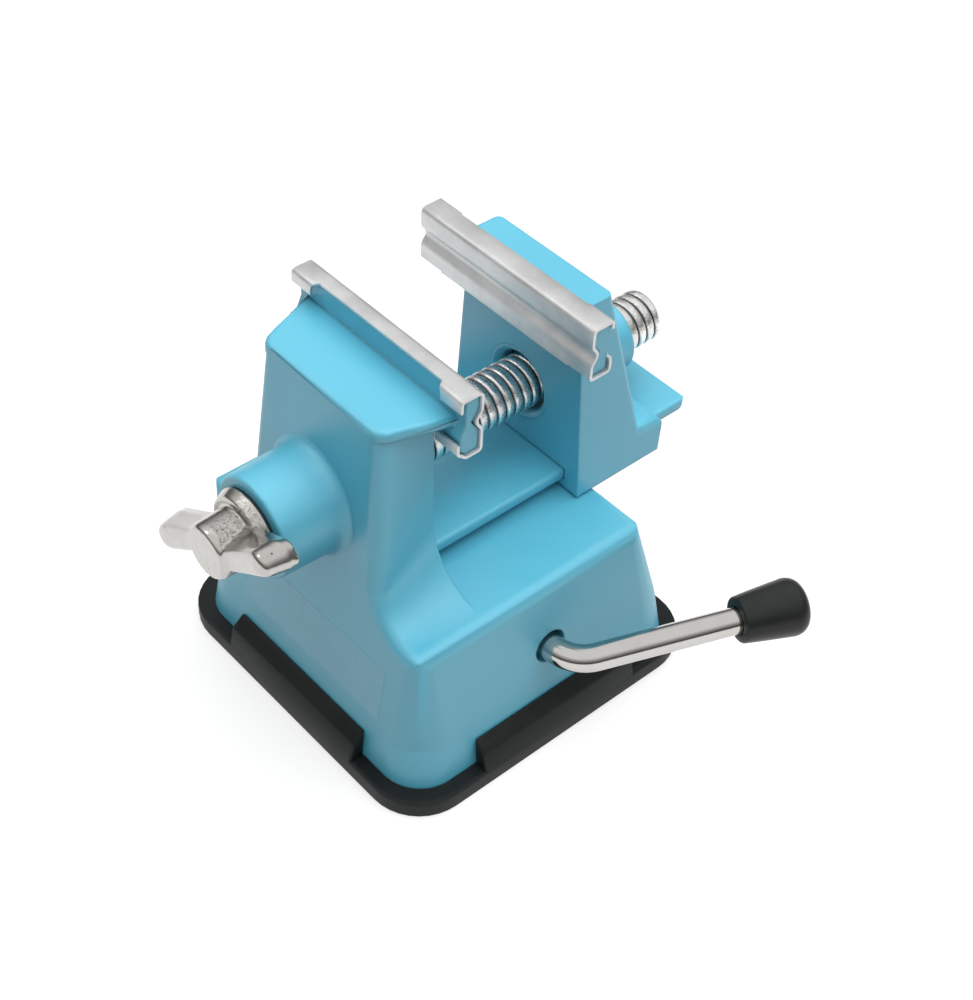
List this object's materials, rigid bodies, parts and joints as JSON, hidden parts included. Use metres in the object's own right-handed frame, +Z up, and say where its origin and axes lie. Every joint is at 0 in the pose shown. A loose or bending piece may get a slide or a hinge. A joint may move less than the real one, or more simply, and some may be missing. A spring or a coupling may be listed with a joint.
{
  "type": "suction base vise",
  "caption": "Small bench vise: lead screw, wing handle and grooved metal-faced jaws on a plastic body that a side lever holds down with a rubber suction pad.",
  "frame": {"origin": "middle of the pad's underside, on the bench", "axes": "+Y runs along the lead screw from its wing handle to its free end, +X points to the lever's side, +Z is up"},
  "size_m": [0.0911, 0.0988, 0.0779],
  "materials": {
    "blue_plastic": "light blue moulded plastic with a soft satin surface",
    "jaw_aluminium": "bent aluminium sheet, faintly brushed along its length, edges worn",
    "plated_steel": "bright zinc-nickel plated rolled thread",
    "cast_zinc": "nickel-plated die casting, softly uneven",
    "bright_rod": "polished plated rod",
    "pad_rubber": "matte black rubber with ribbed lip edges",
    "knob_rubber": "satin black soft plastic",
    "black_washer": "blackened steel washer",
    "plain_steel": "plain turned steel",
    "white_acetal": "natural white acetal"
  },
  "bodies": {
    "base": {"housing": "blue_plastic", "fixed_jaw_cover": "jaw_aluminium", "suction_pad": "pad_rubber"},
    "screw": {"lead_screw": "plated_steel", "wing_handle": "cast_zinc", "thrust_washer": "black_washer", "keeper_washer": "plain_steel", "keeper_clip": "plain_steel"},
    "sliding_jaw": {"moving_jaw": "blue_plastic", "moving_jaw_cover": "jaw_aluminium", "jaw_nut": "plain_steel"},
    "lever": {"lever_rod": "bright_rod", "lever_knob": "knob_rubber", "lever_cam": "white_acetal", "cam_pin": "plain_steel", "rod_washer": "plain_steel", "rod_clip": "plain_steel"},
    "plunger": {"plunger_yoke": "white_acetal", "pull_stud": "plain_steel", "plunger_disc": "plain_steel"}
  },
  "joints": [
    {"name": "screw_turn", "type": "hinge", "parent": "base", "child": "screw", "pos_m": [0, 0, 0.0506], "axis": [0, 1, 0], "range_deg": [-1260, 4104]},
    {"name": "jaw_slide", "type": "slide", "parent": "base", "child": "sliding_jaw", "axis": [0, 1, 0], "range_m": [-0.02281, 0.00701]},
    {"name": "lever_swing", "type": "hinge", "parent": "base", "child": "lever", "pos_m": [0, 0, 0.02], "axis": [1, 0, 0], "range_deg": [0, 180]},
    {"name": "plunger_lift", "type": "slide", "parent": "base", "child": "plunger", "axis": [0, 0, 1], "range_m": [-0.00001, 0.00281]}
  ],
  "couplings": [
    {"joint": "jaw_slide", "follows": "screw_turn", "m_per_rad": -0.00031831},
    {"joint": "plunger_lift", "follows": "lever_swing", "m_per_rad": 0.00089127}
  ]
}
